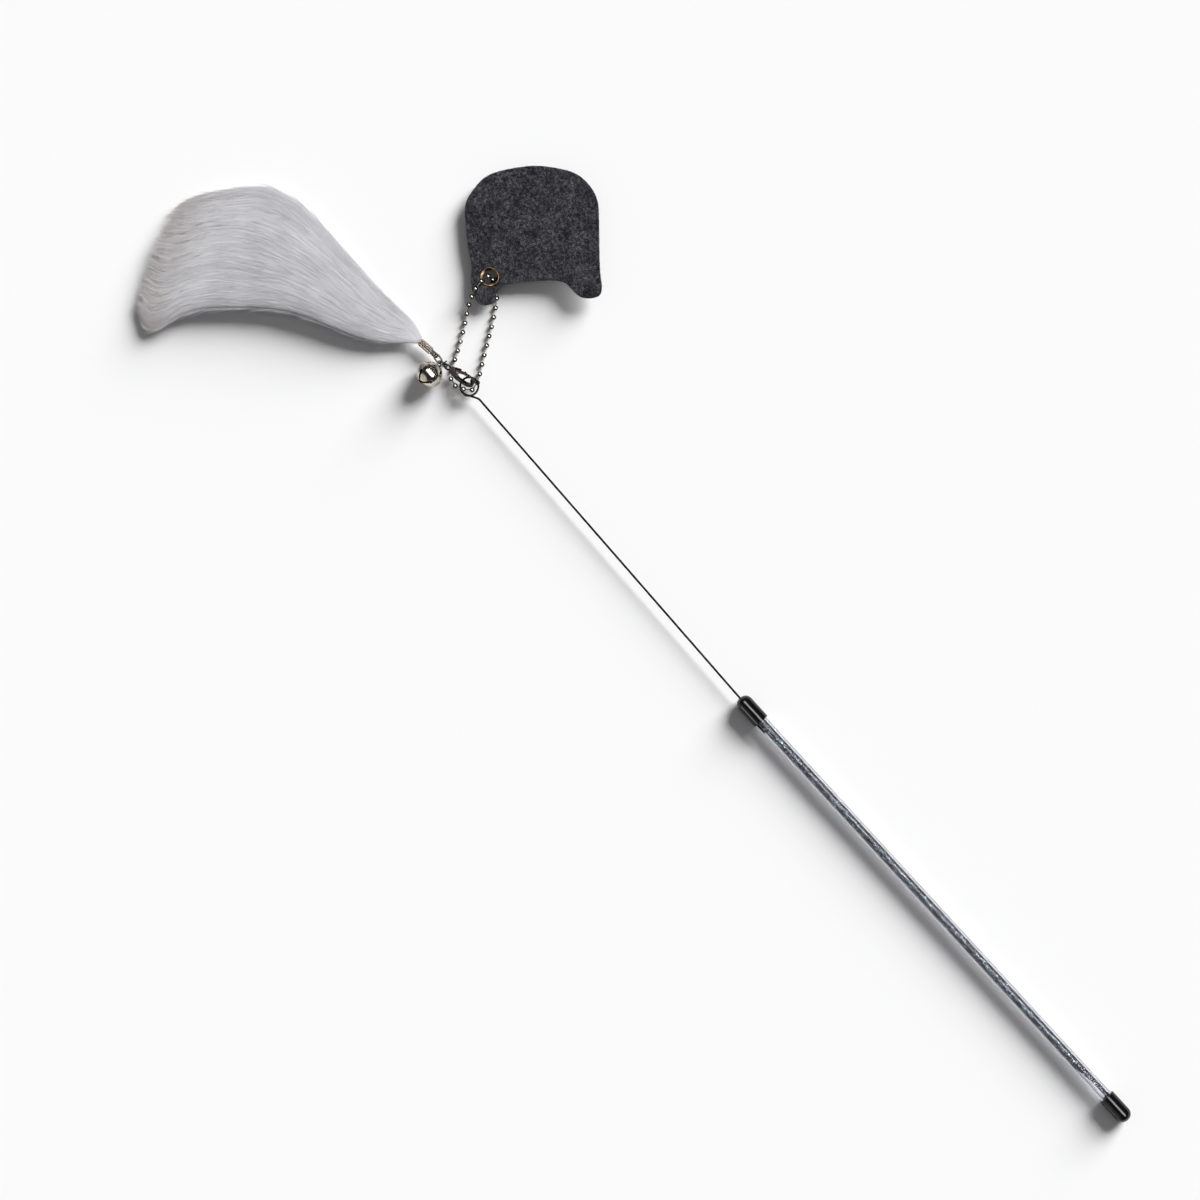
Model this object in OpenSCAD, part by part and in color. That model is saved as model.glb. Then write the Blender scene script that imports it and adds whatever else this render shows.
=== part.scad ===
// Cat teaser wand: glitter tube handle, sprung wire, lobster clasp, bell, fur tail, felt tag on ball chain.
// X runs along the handle towards the lure, Y to the left, Z up. The origin is in the middle of the butt cap.

/* [Handle tube] */
// Outer diameter of the clear tube
tube_d = 6; // [5:0.5:9]
// Wall of the clear tube
tube_wall = 0.8; // [0.5:0.1:1.2]
// Length of the clear tube
tube_l = 260; // [120:5:400]
// Thickness of the glitter film
film_t = 0.12; // [0.08:0.02:0.2]
// Radius of the loosely rolled film
film_r = 1.3; // [1.1:0.05:1.5]
// Open seam of the rolled film, in degrees
film_seam = 40; // [20:5:80]
// Length of the film's slanted end by the rear cap
film_slant_l = 30; // [10:1:50]
// Number of loose glitter flakes
flake_count = 40; // [10:1:60]

/* [Vinyl caps] */
// Wall of the caps round the tube
cap_wall = 1; // [0.7:0.1:1.5]
// Length of each cap
cap_l = 15; // [13:0.5:24]
// Length of the round end
cap_dome_l = 3.6; // [2:0.2:5]
// Rounding of the open rim
cap_lip_r = 0.4; // [0.2:0.1:0.6]
// How far the tube goes into the butt cap
rear_seat = 12; // [8:0.5:12]
// How far the tube goes into the front cap
front_seat = 8.5; // [6:0.5:9]

/* [Wire] */
// Diameter of the spring wire
wire_d = 1; // [0.8:0.1:1.2]
// Free length from the front cap to the kink
wire_l = 186.6; // [100:0.2:300]
// Angle between the wire and the handle
wire_lean = 1.5; // [0:0.1:3]
// Length of the bent neck before the eye
neck_l = 6; // [4:0.5:9]
// Mean radius of the wound eye
eye_r = 4.2; // [4:0.1:6]
// Climb of the eye in one turn
eye_pitch = 1.5; // [1.4:0.1:2.4]
// Cut end of the wire that shows beside the cap
stub_l = 5; // [2:0.5:8]

/* [Lobster clasp] */
// Width across the hook
clasp_w = 7.8; // [7.4:0.1:9]
// Width of the hook's arm
clasp_arm = 1.6; // [1.2:0.1:1.8]
// Thickness of the clasp
clasp_t = 1.6; // [1.4:0.1:2]
// Length of the solid base
clasp_base_l = 5.4; // [4.8:0.1:7]
// Straight part of the opening
clasp_open_l = 4; // [3:0.1:5]
// Mean radius of the tail ring
tail_ring_r = 1.6; // [1.5:0.1:1.8]
// Wire of the tail ring
tail_ring_d = 0.95; // [0.7:0.05:1.1]
// Diameter of the rivet
rivet_d = 0.8; // [0.6:0.1:1]

/* [Rings] */
// Mean radius of the jump ring
jump_r = 2.3; // [2.2:0.1:2.6]
// Wire of the jump ring and the oval link
ring_wire = 0.8; // [0.6:0.05:0.9]
// Mean radius of the oval link's ends
oval_r = 1.3; // [1.2:0.1:1.6]
// Length of the oval link between its end wires
oval_l = 4.6; // [4.4:0.1:7]

/* [Bell] */
// Outer radius of the bell
bell_r = 6.1; // [5:0.1:8]
// Wall of the bell
bell_wall = 0.5; // [0.4:0.05:0.8]
// Mean radius of the bell's loop
bell_loop_r = 1.3; // [1.2:0.1:1.6]
// Straight legs of the bell's loop
bell_leg_l = 3.5; // [2.6:0.1:4]
// Wire of the bell's loop
bell_loop_d = 0.7; // [0.5:0.05:0.9]
// Width of the sound slot
bell_slot = 1.1; // [0.6:0.1:1.6]
// Radius of the loose pea
pea_r = 1.9; // [1.2:0.1:2.4]

/* [Ferrule and tail] */
// Radius of the ferrule
ferrule_r = 1.6; // [1.4:0.1:2.2]
// Length of the ferrule
ferrule_l = 7; // [5:0.5:12]
// Wall of the ferrule
ferrule_wall = 0.4; // [0.3:0.05:0.6]
// Number of crimped ribs
rib_count = 9; // [6:1:12]
// Thickness of the ferrule's tab
tab_t = 0.6; // [0.5:0.1:0.8]
// Length of the fur tail
tail_l = 130; // [80:2:180]
// Greatest thickness of the fur tail
tail_t = 13; // [8:1:20]
// Length of the leather core inside the fur
core_l = 30; // [15:1:50]

/* [Ball chain] */
// Diameter of a bead
bead_d = 2.4; // [2.2:0.05:2.5]
// Wall of a bead
bead_wall = 0.25; // [0.2:0.05:0.3]
// Wire of a link
link_d = 0.5; // [0.4:0.05:0.6]
// Distance between neighbouring beads
chain_pitch = 4.48; // [4.3:0.02:4.8]

/* [Felt tag] */
// Width of the tag
tag_w = 64.4; // [50:1:80]
// Height of the tag
tag_h = 65.2; // [50:1:80]
// Thickness of the felt
felt_t = 1.6; // [1.2:0.1:2]
// Radius of the eyelet's hole
eyelet_hole_r = 3.1; // [2.8:0.1:4]
// Radius of the eyelet's flange
eyelet_r = 4.6; // [4.2:0.1:6]
// Sheet of the eyelet
eyelet_t = 0.3; // [0.2:0.05:0.4]

/* [Hidden] */
$fn = 48;

// Shared allowances
cut_over = 0.2; // how far a cut runs past a face
seat_gap = 0.03; // radial gap of a seated piece
rest_gap = 0.3; // gap between pieces that lie together
pin_gap = 0.04; // running gap of the rivet

// Handle
tube_r = tube_d / 2;
tube_in_r = tube_r - tube_wall;
cap_r = tube_r + cap_wall;
rear_tip_x = -cap_l / 2;
rear_mouth_x = cap_l / 2;
tube_x = rear_mouth_x - rear_seat;
front_mouth_x = tube_x + tube_l - front_seat;
front_tip_x = front_mouth_x + cap_l;
floor_z = -cap_r;
cap_end_wall = cap_wall * 1.8;
film_lean = 25; // where the film lies in the bore, in degrees from straight down
flake_clear = 60; // degrees on each side of the film that stay free of flakes
dome_steps = 12;

// Wire
wire_r = wire_d / 2;
stub_r = tube_r + wire_r + seat_gap;
stub_side = 45; // where the cut end lies round the tube, in degrees
fold_steps = 10;
fold_x = tube_x + tube_l + wire_r;
fold_l = front_tip_x - cap_end_wall - fold_x;
neck_turn = 30; // heading of the neck
kink_steps = 4;
kink_l = wire_d;
eye_over = 23; // extra turn of the cut end, in degrees
eye_grow = 0.4; // how far the cut end stands off the first turn
eye_step = 8; // degrees between the rings of the eye
wire_sides = 12;
kink_x = front_tip_x + wire_l * cos(wire_lean);
kink_y = -wire_l * sin(wire_lean);
neck_x = kink_x + neck_l * cos(neck_turn);
neck_y = kink_y + neck_l * sin(neck_turn);
eye_x = neck_x + eye_r * sin(neck_turn);
eye_y = neck_y - eye_r * cos(neck_turn);

// Clasp: u runs from the round end of the opening to the tail ring
hook_r = (clasp_w - clasp_arm) / 2;
hook_in_r = hook_r - clasp_arm / 2;
hook_out_r = hook_r + clasp_arm / 2;
clasp_heading = 14;
clasp_roll = -54;
clasp_x = eye_x + eye_r * 0.7;
clasp_y = eye_y - eye_r * 0.296;
clasp_z = eye_pitch * 0.42;
nose_u = -hook_r * 0.5; // where the hook's nose ends
nose_gap = 0.45;
pivot_u = clasp_open_l + rivet_d * 1.9;
pivot_v = -hook_r * 0.6;
lever_w = clasp_arm * 0.8;
lever_t = clasp_t * 0.5;
slot_t = lever_t + pin_gap * 6;
tail_ring_u = clasp_open_l + clasp_base_l + tail_ring_r;
base_neck_w = tail_ring_d * 2.2;
nub_h = clasp_arm * 0.75;

// Rings: u runs on from the clasp in the same heading
jump_roll = 70;
jump_u = tail_ring_u + jump_r + rest_gap;
jump_gap = 0.25; // split of the jump ring
oval_roll = -22;
oval_heading = -6;
oval_pitch = 8;
oval_u = jump_u + (bell_loop_d + ring_wire) / 2 + rest_gap;

// Frame points on the clasp's axis
function clasp_point(u) = [clasp_x + u * cos(clasp_heading), clasp_y + u * sin(clasp_heading), clasp_z];
jump_at = clasp_point(jump_u);
oval_at = clasp_point(oval_u);
tab_at = oval_at + oval_l * [cos(oval_pitch) * cos(oval_heading), cos(oval_pitch) * sin(oval_heading),
    -sin(oval_pitch)];

// Bell
bell_in_r = bell_r - bell_wall;
bell_turn = 4; // how far the loop end points back to the handle, in degrees
bell_reach = bell_r + bell_leg_l; // from the bell's centre to the middle of its loop
bell_grip_drop = jump_r + (ring_wire - bell_loop_d) / 2 + rest_gap; // loop's middle below the jump ring's
bell_grip = jump_at - bell_grip_drop * [0, cos(jump_roll), sin(jump_roll)];
bell_down = asin((floor_z + bell_r + seat_gap - bell_grip[2]) / bell_reach); // the bell rests on the floor
bell_dir = [-sin(bell_turn) * cos(bell_down), -cos(bell_turn) * cos(bell_down), -sin(bell_down)];
bell_at = bell_grip - bell_reach * bell_dir;
band_h = bell_wall * 1.6; // height of each shell's rolled edge
band_out = bell_wall * 0.7;
slot_hole_r = bell_slot * 0.9;
bell_steps = 24;

// Ferrule
tail_heading = 6;
tab_hole_r = ring_wire / 2 + rest_gap * 1.4;
tab_w = tab_hole_r * 4;
tab_l = tab_hole_r * 3;
tab_roll = 50;
rib_r = ferrule_wall * 0.7;
core_r = ferrule_r - ferrule_wall - seat_gap;
core_in = ferrule_l * 0.8;

// Tail: two edges of the plume, as shares of its length from the ferrule's mouth
plume_edge_shares = [
    [[0.000, -0.014], [0.000, 0.012]],
    [[0.058, -0.038], [0.030, 0.032]],
    [[0.154, -0.040], [0.095, 0.092]],
    [[0.281, -0.047], [0.168, 0.134]],
    [[0.415, -0.062], [0.260, 0.168]],
    [[0.540, -0.079], [0.354, 0.198]],
    [[0.655, -0.086], [0.447, 0.243]],
    [[0.774, -0.055], [0.519, 0.295]],
    [[0.849, 0.019], [0.590, 0.357]],
    [[0.919, 0.105], [0.670, 0.430]],
    [[0.968, 0.178], [0.716, 0.506]],
    [[0.984, 0.240], [0.732, 0.572]],
    [[0.967, 0.324], [0.764, 0.616]],
    [[0.925, 0.419], [0.822, 0.594]],
    [[0.893, 0.483], [0.856, 0.556]]];
plume_thick_shares = [
    0.26, 0.36, 0.55, 0.72, 0.85, 0.95, 1.00, 1.00,
    0.98, 0.92, 0.84, 0.76, 0.62, 0.42, 0.20];
plume_sides = 24;

// Ball chain: centres of the beads, from the eyelet to the wire eye and back
bead_r = bead_d / 2;
bead_in_r = bead_r - bead_wall;
link_r = link_d / 2;
link_head_r = bead_in_r * 0.42;
link_head_at = bead_in_r * 0.53;
link_short_at = bead_in_r * 0.56;
bead_hole_r = link_r + bead_wall * 0.6;
chain_route = [
    [32.0, -41.6, 1.5], [32.3, -37.6, 3.4], [31.6, -33.2, 3.1], [30.2, -29.3, 1.8],
    [28.3, -25.8, -0.4], [26.0, -22.3, -2.4], [23.4, -18.7, -2.8], [20.9, -15.0, -2.8],
    [18.5, -11.2, -2.8], [16.2, -7.4, -2.8], [14.0, -3.5, -2.8], [11.5, 0.2, -2.8],
    [8.5, 3.9, -2.4], [4.6, 4.6, 0.2], [0.8, 2.9, 2.1], [-2.2, 0.1, 0.0],
    [-1.3, -4.0, -1.6], [1.1, -7.6, -2.7], [3.65, -11.4, -2.8], [6.2, -15.2, -2.8],
    [8.7, -19.05, -2.8], [11.2, -22.9, -2.8], [13.7, -26.75, -2.8], [16.3, -30.5, -2.8],
    [18.95, -34.15, -2.8], [21.9, -37.6, -2.7], [25.4, -40.4, -2.35], [29.5, -42.1, -2.35]];
route_pitch = 4.48; // spacing that the route is written at
chain_points = [for (p = chain_route) [eye_x, eye_y, 0] + p * chain_pitch / route_pitch];
bead_count = len(chain_points);
fold_near = [8, 19]; // beads that the chain folds at, nearer the eye
fold_far = [5, 22]; // beads that the chain folds at, nearer the tag
closing_bead = 26; // first of the two beads in the connector
fold_angle = 38; // half angle of a folding bead's mouth
sleeve_wall = 0.2;
sleeve_gap = 0.05;
sleeve_slot_w = bead_d * 0.55;

// Felt tag, in its own frame with the eyelet as the origin
tag_route = [31.3, -41.9, -0.2]; // the eyelet from the wire eye
tag_at = [eye_x, eye_y, 0] + tag_route * chain_pitch / route_pitch;
tag_turn = -132.6;
tag_tilt = 3.3;
tag_tilt_turn = 62;
tag_left_share = 0.179; // where the eyelet lies in the width
tag_low_share = 0.204; // where the eyelet lies in the height
tag_outline_shares = [
    [0.000, 0.712], [0.006, 0.568], [0.022, 0.415], [0.048, 0.285], [0.042, 0.170], [0.062, 0.075],
    [0.107, 0.009], [0.160, 0.000], [0.211, 0.022], [0.231, 0.080], [0.276, 0.138], [0.342, 0.156],
    [0.472, 0.170], [0.627, 0.176], [0.719, 0.164], [0.772, 0.120], [0.837, 0.060], [0.915, 0.047],
    [0.982, 0.068], [1.000, 0.132], [0.987, 0.236], [0.981, 0.415], [0.978, 0.633], [0.967, 0.750],
    [0.915, 0.853], [0.811, 0.943], [0.654, 0.988], [0.458, 1.000], [0.185, 0.943], [0.056, 0.827]];
outline_steps = 4;
eyelet_neck_r = eyelet_hole_r + eyelet_t;
washer_t = eyelet_t;

// Points along an arc
function arc_points(r, from, to, steps, at = [0, 0]) =
    [for (i = [0:steps]) at + r * [cos(from + (to - from) * i / steps), sin(from + (to - from) * i / steps)]];

// One point of a smooth closed curve through a list of points
function smooth_point(p, i, t) =
    let (n = len(p), a = p[(i + n - 1) % n], b = p[i], c = p[(i + 1) % n], d = p[(i + 2) % n])
    0.5 * (2 * b + (c - a) * t + (2 * a - 5 * b + 4 * c - d) * t * t + (3 * b - a - 3 * c + d) * t * t * t);

// Closed smooth outline
function smooth_outline(p, steps) =
    [for (i = [0:len(p) - 1], s = [0:steps - 1]) smooth_point(p, i, s / steps)];

function unit(v) = v / norm(v);

// Rings of points round a path, for a tube of radius r
function tube_rings(path, r, sides) =
    [for (i = [0:len(path) - 1])
        let (
            ahead = path[min(i + 1, len(path) - 1)],
            behind = path[max(i - 1, 0)],
            run = unit(ahead - behind),
            side = unit(cross([0, 0, 1], run)),
            up = cross(run, side))
        for (s = [0:sides - 1])
            path[i] + r * (side * cos(360 * s / sides) + up * sin(360 * s / sides))];

// Triangles that close a stack of rings
function ring_faces(rings, sides) = concat(
    [for (i = [0:rings - 2], s = [0:sides - 1])
        [i * sides + s, (i + 1) * sides + s, i * sides + (s + 1) % sides]],
    [for (i = [0:rings - 2], s = [0:sides - 1])
        [i * sides + (s + 1) % sides, (i + 1) * sides + s, (i + 1) * sides + (s + 1) % sides]],
    [for (s = [1:sides - 2]) [0, s, s + 1]],
    [for (s = [1:sides - 2]) [(rings - 1) * sides, (rings - 1) * sides + s + 1, (rings - 1) * sides + s]]);

// Turn +Z to the direction of v
module aim(v) {
    rotate([0, acos(v[2] / norm(v)), atan2(v[1], v[0])]) children();
}

module place_clasp() {
    translate([clasp_x, clasp_y, clasp_z]) rotate([0, 0, clasp_heading])
        rotate([clasp_roll, 0, 0]) children();
}

module place_tag() {
    translate(tag_at)
        rotate([0, 0, tag_tilt_turn]) rotate([0, tag_tilt, 0]) rotate([0, 0, -tag_tilt_turn])
        rotate([0, 0, tag_turn]) children();
}

// Cylinder along X
module bar_x(r, l) {
    rotate([0, 90, 0]) cylinder(r = r, h = l);
}

module handle_tube() {
    color([0.86, 0.88, 0.92, 0.4]) translate([tube_x, 0, 0]) difference() {
        bar_x(tube_r, tube_l);
        translate([-cut_over, 0, 0]) bar_x(tube_in_r, tube_l + 2 * cut_over);
    }
}

// Loosely rolled film on the bottom of the bore, cut slantwise by the rear cap
module glitter_film() {
    film_l = tube_l - 2 * cap_wall;
    side = film_r + cut_over;
    color("silver") rotate([film_lean, 0, 0])
        translate([tube_x + cap_wall, 0, film_r + seat_gap - tube_in_r]) difference() {
            rotate([0, 90, 0]) rotate([0, 0, 180 + film_seam / 2])
                rotate_extrude(angle = 360 - film_seam)
                translate([film_r - film_t, 0]) square([film_t, film_l]);
            translate([0, 0, -side]) linear_extrude(2 * side)
                polygon([[-cut_over, -film_r * 0.7], [film_slant_l, side], [-cut_over, side]]);
        }
}

// Loose flakes lie against the bore beside the film, closer together towards the rear cap
module glitter_flakes() {
    flake_r = tube_in_r * 0.17;
    flake_t = film_t;
    bore_r = tube_in_r - 2 * seat_gap;
    flake_low = sqrt(bore_r * bore_r - flake_r * flake_r);
    flake_turn = 137.5;
    color("white") for (i = [0:flake_count - 1]) {
        share = (i + 1) / (flake_count + 1);
        along = tube_x + cap_wall + (tube_l - 2 * cap_wall) * share * share;
        around = flake_clear + (i * flake_turn) % (360 - 2 * flake_clear);
        translate([along, 0, 0]) rotate([film_lean + around, 0, 0])
            translate([0, 0, -flake_low]) cylinder(r = flake_r, h = flake_t, $fn = 6);
    }
}

// Outline of a cap over its axis, closed end at zero
function cap_outline(bore_l, bore_r) = concat(
    [for (i = [0:dome_steps])
        [cap_r * sin(90 * i / dome_steps), cap_dome_l * (1 - cos(90 * i / dome_steps))]],
    [for (i = [0:4]) [cap_r - cap_lip_r * (1 - cos(90 * i / 4)), cap_l - cap_lip_r * (1 - sin(90 * i / 4))]],
    [[bore_r, cap_l], [bore_r, cap_l - bore_l], [0, cap_l - bore_l]]);

module cap_shell(bore_l) {
    rotate_extrude() polygon(cap_outline(bore_l, tube_r + seat_gap));
}

module rear_cap() {
    color([0.05, 0.05, 0.05]) translate([rear_tip_x, 0, 0]) rotate([0, 90, 0])
        cap_shell(rear_seat + seat_gap);
}

// The front cap has a hole for the wire, and a low rib over the folded wire
module front_cap() {
    rib_wall = cap_wall * 0.4;
    room_l = cap_l - cap_end_wall;
    groove_r = wire_r + seat_gap;
    groove_l = front_seat + fold_l * 0.6;
    color([0.05, 0.05, 0.05]) difference() {
        union() {
            translate([front_tip_x, 0, 0]) rotate([0, -90, 0]) cap_shell(room_l);
            rotate([stub_side, 0, 0]) translate([front_mouth_x + cap_lip_r, stub_r, 0])
                bar_x(wire_r + rib_wall, groove_l + rib_wall - cap_lip_r);
            rotate([stub_side, 0, 0]) translate([front_mouth_x + groove_l + rib_wall, stub_r, 0])
                sphere(r = wire_r + rib_wall);
        }
        rotate([stub_side, 0, 0]) translate([front_mouth_x - cut_over, stub_r, 0])
            bar_x(groove_r, groove_l + cut_over);
        rotate([stub_side, 0, 0]) translate([front_mouth_x + front_seat, 0, -groove_r * 1.1])
            cube([groove_l - front_seat, stub_r, groove_r * 2.2]);
        translate([front_mouth_x - cut_over, 0, 0]) bar_x(tube_r + seat_gap, room_l + cut_over);
        translate([front_mouth_x, 0, 0]) bar_x(groove_r, cap_l + cut_over);
    }
}

// Centre line of the wire: cut end, fold over the rim, free length, neck and wound eye
function wire_path() =
    let (
        side = [0, cos(stub_side), sin(stub_side)],
        out = [cos(wire_lean), -sin(wire_lean), 0],
        tip = [front_tip_x, 0, 0],
        kink = [kink_x, kink_y, 0],
        ahead = [cos(neck_turn), sin(neck_turn), 0],
        full = 360 + eye_over)
    concat(
        [[front_mouth_x - stub_l, 0, 0] + stub_r * side],
        [for (i = [0:fold_steps])
            [fold_x - fold_l * 0.1 + fold_l * i / fold_steps, 0, 0]
                + side * stub_r * (1 + cos(180 * i / fold_steps)) / 2],
        [tip],
        [for (i = [0:kink_steps])
            let (t = i / kink_steps)
            (1 - t) * (1 - t) * (kink - kink_l * out) + 2 * t * (1 - t) * kink
                + t * t * (kink + kink_l * ahead)],
        [for (a = [0:eye_step:full])
            [eye_x, eye_y, 0]
                + (eye_r + eye_grow * pow(a / full, 3))
                * [cos(90 + neck_turn - a), sin(90 + neck_turn - a), 0]
                + [0, 0, eye_pitch * a / 360]]);

module wand_wire() {
    path = wire_path();
    color([0.08, 0.08, 0.08])
        polyhedron(tube_rings(path, wire_r, wire_sides), ring_faces(len(path), wire_sides));
}

// Flat outline of the clasp without its trigger
module clasp_outline() {
    base_end = clasp_open_l + clasp_base_l;
    difference() {
        polygon(concat(
            arc_points(hook_out_r, 90, 270, 36),
            [[clasp_open_l + rivet_d, -hook_out_r * 0.94],
            [clasp_open_l + clasp_base_l * 0.6, -hook_out_r * 0.66],
            [base_end, -base_neck_w / 2], [base_end, base_neck_w / 2],
            [clasp_open_l + clasp_base_l * 0.6, hook_out_r * 0.66],
            [clasp_open_l + rivet_d, hook_out_r * 0.94]]));
        circle(r = hook_in_r);
        translate([0, -hook_in_r]) square([clasp_open_l - hook_in_r * 0.5, hook_in_r * 2]);
        translate([clasp_open_l - hook_in_r * 0.5, 0]) intersection() {
            circle(r = hook_in_r);
            translate([-cut_over, -hook_in_r]) square([hook_in_r + cut_over, hook_in_r * 2]);
        }
        translate([nose_u, -hook_out_r - cut_over])
            square([clasp_open_l - nose_u + rivet_d * 0.6, hook_out_r - hook_in_r * 0.4 + cut_over]);
    }
}

module clasp_body() {
    color([0.25, 0.24, 0.25]) place_clasp() {
        difference() {
            translate([0, 0, -clasp_t / 2]) linear_extrude(clasp_t) clasp_outline();
            translate([clasp_open_l, -hook_out_r - cut_over, -slot_t / 2])
                cube([clasp_base_l * 0.62, hook_out_r * 0.86 + cut_over, slot_t]);
            translate([pivot_u, pivot_v, -clasp_t]) cylinder(r = rivet_d / 2 + pin_gap, h = clasp_t * 2);
            translate([tail_ring_u, 0, -clasp_t]) cylinder(r = tail_ring_r, h = clasp_t * 2);
        }
        translate([tail_ring_u, 0, 0]) rotate_extrude() translate([tail_ring_r, 0])
            circle(d = tail_ring_d, $fn = 24);
    }
}

module clasp_trigger() {
    start_u = nose_u + nose_gap;
    color([0.28, 0.27, 0.28]) place_clasp() difference() {
        union() {
            translate([0, 0, -lever_t / 2]) linear_extrude(lever_t) {
                polygon([[start_u, -hook_r * 0.88], [start_u, -hook_r * 0.88 - lever_w * 0.7],
                    [0, -hook_r - lever_w / 2], [clasp_open_l * 0.62, -hook_r - lever_w / 2],
                    [pivot_u, pivot_v - rivet_d * 1.1], [pivot_u, pivot_v + rivet_d * 1.1],
                    [clasp_open_l * 0.62, -hook_r + lever_w / 2], [0, -hook_r + lever_w / 2]]);
                translate([pivot_u, pivot_v]) circle(r = rivet_d * 1.1);
            }
            translate([clasp_open_l * 0.62 - nub_h / 2, -hook_r - nub_h, -lever_t / 2])
                cube([nub_h * 0.7, nub_h, lever_t]);
        }
        translate([pivot_u, pivot_v, -clasp_t]) cylinder(r = rivet_d / 2 + pin_gap, h = clasp_t * 2);
    }
}

// Rivet with a low head on each side
module clasp_pin() {
    head_h = rivet_d * 0.2;
    color([0.35, 0.34, 0.35]) place_clasp() translate([pivot_u, pivot_v, 0]) {
        translate([0, 0, -clasp_t / 2 - head_h]) cylinder(d = rivet_d, h = clasp_t + 2 * head_h);
        for (side = [-1, 1])
            translate([0, 0, side * (clasp_t / 2 + head_h / 2 + seat_gap) - head_h / 2])
            cylinder(d = rivet_d * 1.6, h = head_h);
    }
}

// Leaf behind the trigger, seated in the slot's far end
module clasp_spring() {
    leaf_t = rivet_d * 0.2;
    leaf_w = lever_t * 0.8;
    color("gray") place_clasp()
        translate([pivot_u + rivet_d * 1.1 + pin_gap, -hook_r * 1.02, -leaf_w / 2])
        cube([leaf_t, hook_r * 0.76, leaf_w]);
}

module jump_ring() {
    split = 2 * asin(jump_gap / 2 / jump_r);
    color([0.7, 0.68, 0.64]) translate(jump_at) rotate([0, 0, clasp_heading]) rotate([jump_roll, 0, 0])
        rotate([0, 0, 130 + split / 2]) rotate_extrude(angle = 360 - split)
        translate([jump_r, 0]) circle(d = ring_wire, $fn = 24);
}

module oval_link() {
    straight = oval_l - 2 * oval_r;
    color([0.3, 0.29, 0.28]) translate(oval_at)
        rotate([0, oval_pitch, oval_heading]) rotate([oval_roll, 0, 0])
        translate([oval_r, 0, 0]) {
            rotate([0, 0, 90]) rotate_extrude(angle = 180) translate([oval_r, 0])
                circle(d = ring_wire, $fn = 24);
            translate([straight, 0, 0]) rotate([0, 0, -90])
                rotate_extrude(angle = 180) translate([oval_r, 0]) circle(d = ring_wire, $fn = 24);
            for (side = [-1, 1]) translate([0, side * oval_r, 0]) bar_x(ring_wire / 2, straight);
        }
}

// The bell's own axis is Z with the loop on top
module place_bell() {
    translate(bell_at) aim(bell_dir) children();
}

// Shell of a half bell, seam flange at the open side
module bell_shell() {
    rotate_extrude() union() {
        polygon(concat(arc_points(bell_r, 0, 90, bell_steps), arc_points(bell_in_r, 90, 0, bell_steps)));
        translate([bell_r - bell_wall, 0]) square([bell_wall + band_out, band_h]);
    }
}

module bell_upper() {
    color([0.75, 0.73, 0.68]) place_bell() difference() {
        translate([0, 0, seat_gap / 2]) bell_shell();
        for (side = [-1, 1]) translate([side * bell_loop_r, 0, bell_r * 0.5])
            cylinder(r = bell_loop_d / 2 + seat_gap, h = bell_r);
    }
}

// Cross of two sound slots with round ends
module bell_lower() {
    slot_reach = bell_r * 0.72;
    color([0.78, 0.76, 0.7]) place_bell() difference() {
        mirror([0, 0, 1]) translate([0, 0, seat_gap / 2]) bell_shell();
        for (turn = [45, 135]) rotate([0, 0, turn]) {
            translate([-slot_reach, -bell_slot / 2, -bell_r - cut_over])
                cube([slot_reach * 2, bell_slot, bell_r]);
            for (side = [-1, 1]) translate([side * slot_reach, 0, -bell_r - cut_over])
                cylinder(r = slot_hole_r, h = bell_r);
        }
    }
}

// Wire loop: two legs through the shell, joined by a half ring
module bell_loop() {
    leg_in = bell_wall * 4;
    color([0.5, 0.48, 0.45]) place_bell() {
        translate([0, 0, bell_r + bell_leg_l]) rotate([90, 0, 0])
            rotate_extrude(angle = 180) translate([bell_loop_r, 0]) circle(d = bell_loop_d, $fn = 24);
        for (side = [-1, 1]) translate([side * bell_loop_r, 0, bell_r - leg_in])
            cylinder(d = bell_loop_d, h = bell_leg_l + leg_in, $fn = 24);
    }
}

// The pea lies at the lowest point inside
module bell_pea() {
    color([0.5, 0.5, 0.5]) translate(bell_at + [0, 0, -(bell_in_r - pea_r - rest_gap)]) sphere(r = pea_r);
}

module place_ferrule() {
    translate(tab_at) rotate([0, 0, tail_heading]) children();
}

// Crimped tube with ribs, and a flat tab for the link
module ferrule() {
    color([0.72, 0.7, 0.66]) place_ferrule() {
        difference() {
            union() {
                translate([tab_l, 0, 0]) bar_x(ferrule_r, ferrule_l);
                for (i = [0:rib_count - 1]) rotate([360 * i / rib_count, 0, 0])
                    translate([tab_l + rib_r, 0, ferrule_r]) bar_x(rib_r, ferrule_l - rib_r * 2);
                rotate([tab_roll, 0, 0]) {
                    translate([0, -tab_w / 2, -tab_t / 2]) cube([tab_l + ferrule_wall, tab_w, tab_t]);
                    translate([0, 0, -tab_t / 2]) cylinder(r = tab_w / 2, h = tab_t);
                }
            }
            translate([tab_l + ferrule_wall * 2, 0, 0]) bar_x(ferrule_r - ferrule_wall, ferrule_l);
            rotate([tab_roll, 0, 0]) translate([0, 0, -tab_w]) cylinder(r = tab_hole_r, h = tab_w * 2);
        }
    }
}

module tail_core() {
    color([0.8, 0.76, 0.7]) place_ferrule()
        translate([tab_l + ferrule_l - core_in, 0, 0]) bar_x(core_r, core_in + core_l);
}

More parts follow.
